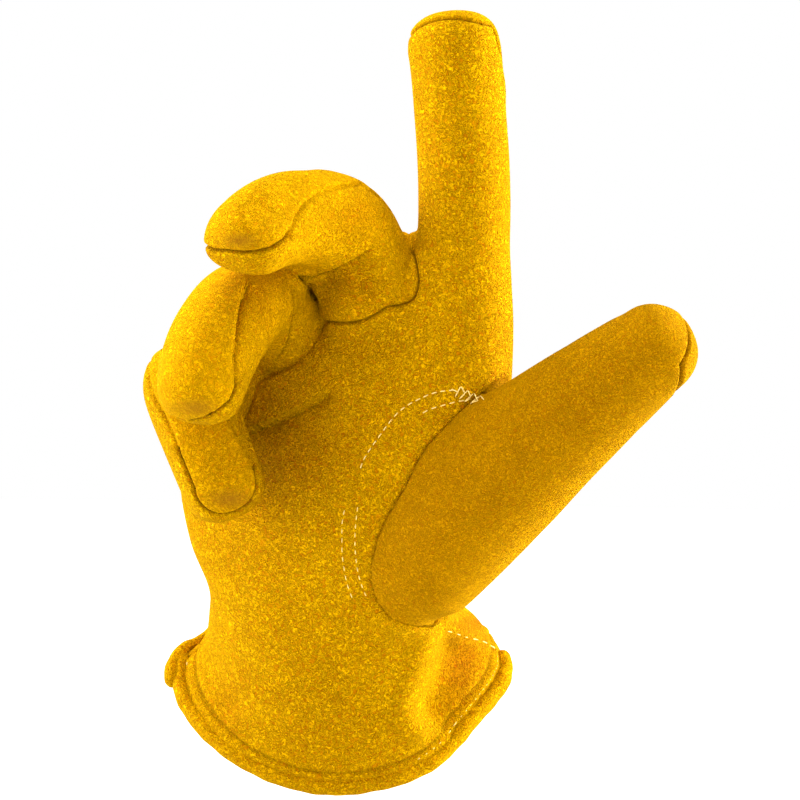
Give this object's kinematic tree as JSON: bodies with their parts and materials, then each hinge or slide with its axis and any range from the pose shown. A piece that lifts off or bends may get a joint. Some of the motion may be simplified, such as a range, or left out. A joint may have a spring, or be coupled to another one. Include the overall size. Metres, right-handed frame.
{
  "type": "leather work glove",
  "caption": "Golden suede leather work glove for the right hand, with a set-in thumb, side strips between curled fingers and a flared cuff with a rolled edge.",
  "frame": {"origin": "middle of the wrist opening inside the glove, where the wearer's wrist holds it", "axes": "+Z along the upright index finger, -Y the way the palm faces, +X the thumb side"},
  "size_m": [0.1659, 0.1248, 0.2173],
  "materials": {
    "palm_leather": "golden yellow suede with a coarse woolly nap",
    "back_leather": "golden yellow suede with a coarse woolly nap",
    "thumb_leather": "golden yellow suede with a fine short nap",
    "strip_leather": "golden yellow suede with a fine nap",
    "binding_leather": "golden yellow suede strip, rolled round the edge and stitched",
    "stitching_thread": "cream sewing thread about 0.5 mm thick"
  },
  "bodies": {
    "root": {"thumb": "thumb_leather", "middle_front": "palm_leather", "ring_front": "palm_leather", "side_strip_index": "strip_leather", "side_strip_middle_inner": "strip_leather", "side_strip_middle_outer": "strip_leather", "side_strip_ring_inner": "strip_leather", "side_strip_ring_outer": "strip_leather", "side_strip_little": "strip_leather", "palm_panel": "palm_leather", "back_panel": "back_leather", "cuff_binding_front": "binding_leather", "cuff_binding_back": "binding_leather"}
  },
  "joints": []
}
